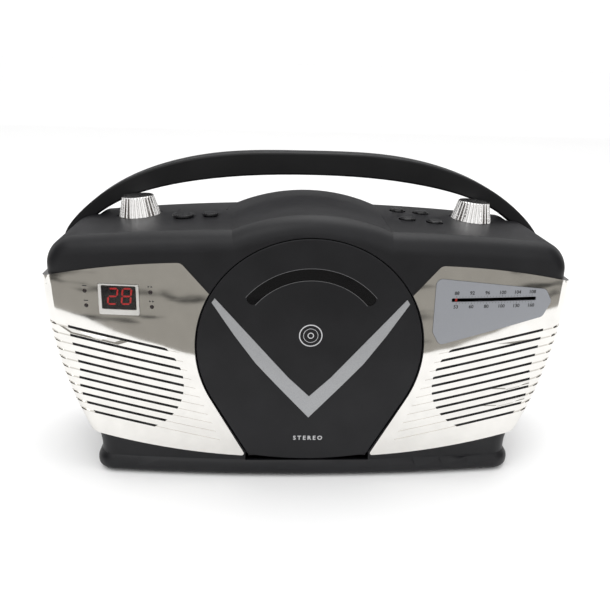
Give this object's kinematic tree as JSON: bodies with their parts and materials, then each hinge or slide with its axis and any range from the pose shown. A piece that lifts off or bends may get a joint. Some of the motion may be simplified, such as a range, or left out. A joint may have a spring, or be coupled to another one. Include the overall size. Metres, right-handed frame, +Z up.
{
  "type": "boombox",
  "caption": "Portable disc radio with a round-topped black case, slotted bright speaker panels, a front disc door, two fluted knobs and a folding carry handle.",
  "frame": {"origin": "on the surface it stands on, under the middle of its outer box", "axes": "+X to the listener's right, the front faces -Y, +Z up"},
  "size_m": [0.362, 0.126, 0.2124],
  "materials": {
    "case_black": "fine matt moulding",
    "handle_black": "satin moulding",
    "chrome_plated": "bright plated plastic",
    "mesh_steel": "black perforated sheet",
    "plated_steel": "zinc plated",
    "magnet_iron": "dull",
    "cone_paper": "coated paper",
    "smoked_lens": "smoked glossy",
    "clear_lens": "clear",
    "inner_black": "matt",
    "silver_paint": "silver metallic",
    "pointer_red": "red",
    "bright_steel": "bright",
    "board_green": "laminate",
    "cap_black": "semi gloss",
    "aerial_chrome": "bright",
    "foot_rubber": "matt"
  },
  "bodies": {
    "case": {"battery_box": "inner_black", "battery_contacts": "plated_steel", "button_board": "board_green", "case_screws": "bright_steel", "cd_bay": "inner_black", "cd_chassis": "plated_steel", "dial_plate": "silver_paint", "dial_rail": "bright_steel", "display_bezel": "chrome_plated", "display_lens": "smoked_lens", "display_module": "inner_black", "door_latch": "inner_black", "feet": "foot_rubber", "front_shell": "case_black", "left_handle_pivot": "bright_steel", "left_speaker_basket": "plated_steel", "left_speaker_cone": "cone_paper", "left_speaker_magnet": "magnet_iron", "left_speaker_mesh": "mesh_steel", "left_trim_panel": "chrome_plated", "main_board": "board_green", "power_inlet": "inner_black", "rear_shell": "case_black", "right_handle_pivot": "bright_steel", "right_speaker_basket": "plated_steel", "right_speaker_cone": "cone_paper", "right_speaker_magnet": "magnet_iron", "right_speaker_mesh": "mesh_steel", "right_trim_panel": "chrome_plated", "sled_rails": "bright_steel", "slide_switch_board": "board_green", "spindle_motor": "bright_steel", "transformer": "plated_steel", "tuning_capacitor": "plated_steel", "volume_pot": "plated_steel"},
    "door": {"cd_door": "case_black", "cd_door_window": "smoked_lens", "cd_door_chevron": "silver_paint", "door_catch": "inner_black"},
    "disc_hub": {"disc_hub": "inner_black"},
    "sled": {"laser_sled": "inner_black", "laser_lens": "clear_lens"},
    "pointer": {"dial_pointer": "pointer_red"},
    "volume": {"volume_knob": "chrome_plated", "volume_shaft": "bright_steel"},
    "tuning": {"tuning_knob": "chrome_plated", "tuning_shaft": "bright_steel"},
    "function_slider": {"function_slider": "cap_black"},
    "band_slider": {"band_slider": "cap_black"},
    "disc_button_1": {"disc_button_1": "cap_black"},
    "disc_button_2": {"disc_button_2": "cap_black"},
    "disc_button_3": {"disc_button_3": "cap_black"},
    "disc_button_4": {"disc_button_4": "cap_black"},
    "handle": {"handle": "handle_black"},
    "battery_door": {"battery_door": "case_black"},
    "aerial": {"aerial_base": "inner_black", "aerial_tube_1": "aerial_chrome"},
    "aerial_tube_2": {"aerial_tube_2": "aerial_chrome"},
    "aerial_tube_3": {"aerial_tube_3": "aerial_chrome"},
    "aerial_tube_4": {"aerial_tube_4": "aerial_chrome"}
  },
  "joints": [
    {"name": "door_hinge", "type": "hinge", "parent": "case", "child": "door", "pos_m": [0, -0.0574, 0.018], "axis": [1, 0, 0], "range_deg": [0, 40]},
    {"name": "handle_fold", "type": "hinge", "parent": "case", "child": "handle", "pos_m": [0, 0.034, 0.133], "axis": [-1, 0, 0], "range_deg": [0, 90]},
    {"name": "disc_spin", "type": "hinge", "parent": "case", "child": "disc_hub", "pos_m": [0, -0.045, 0.095], "axis": [0, -1, 0], "continuous": true},
    {"name": "sled_slide", "type": "slide", "parent": "case", "child": "sled", "axis": [1, 0, 0], "range_m": [0, 0.035]},
    {"name": "volume_turn", "type": "hinge", "parent": "case", "child": "volume", "pos_m": [-0.1193, 0.0126, 0.1683], "axis": [0.0837, 0, -0.9965], "range_deg": [0, 300]},
    {"name": "tuning_turn", "type": "hinge", "parent": "case", "child": "tuning", "pos_m": [0.1193, 0.0126, 0.1683], "axis": [-0.0837, 0, -0.9965], "range_deg": [0, 540]},
    {"name": "pointer_slide", "type": "slide", "parent": "case", "child": "pointer", "axis": [0.9949, 0.1009, 0], "range_m": [0, 0.05]},
    {"name": "function_slide", "type": "slide", "parent": "case", "child": "function_slider", "axis": [1, 0, 0], "range_m": [-0.003, 0.003]},
    {"name": "band_slide", "type": "slide", "parent": "case", "child": "band_slider", "axis": [1, 0, 0], "range_m": [-0.002, 0.002]},
    {"name": "disc_button_1_press", "type": "slide", "parent": "case", "child": "disc_button_1", "axis": [0, 0, -1], "range_m": [0, 0.0012], "stiffness_N_per_m": 300},
    {"name": "disc_button_2_press", "type": "slide", "parent": "case", "child": "disc_button_2", "axis": [0, 0, -1], "range_m": [0, 0.0012], "stiffness_N_per_m": 300},
    {"name": "disc_button_3_press", "type": "slide", "parent": "case", "child": "disc_button_3", "axis": [0, 0, -1], "range_m": [0, 0.0012], "stiffness_N_per_m": 300},
    {"name": "disc_button_4_press", "type": "slide", "parent": "case", "child": "disc_button_4", "axis": [0, 0, -1], "range_m": [0, 0.0012], "stiffness_N_per_m": 300},
    {"name": "battery_door_hinge", "type": "hinge", "parent": "case", "child": "battery_door", "pos_m": [0, 0.0526, 0.0159], "axis": [-1, 0, 0], "range_deg": [0, 95]},
    {"name": "aerial_swivel", "type": "hinge", "parent": "case", "child": "aerial", "pos_m": [0.084, 0.0586, 0.153], "axis": [0, 1, 0], "range_deg": [0, 180]},
    {"name": "aerial_slide_2", "type": "slide", "parent": "aerial", "child": "aerial_tube_2", "axis": [-1, 0, 0], "range_m": [0, 0.08]},
    {"name": "aerial_slide_3", "type": "slide", "parent": "aerial_tube_2", "child": "aerial_tube_3", "axis": [-1, 0, 0], "range_m": [0, 0.08]},
    {"name": "aerial_slide_4", "type": "slide", "parent": "aerial_tube_3", "child": "aerial_tube_4", "axis": [-1, 0, 0], "range_m": [0, 0.08]}
  ],
  "couplings": [
    {"joint": "pointer_slide", "follows": "tuning_turn", "m_per_rad": 0.0053052}
  ]
}
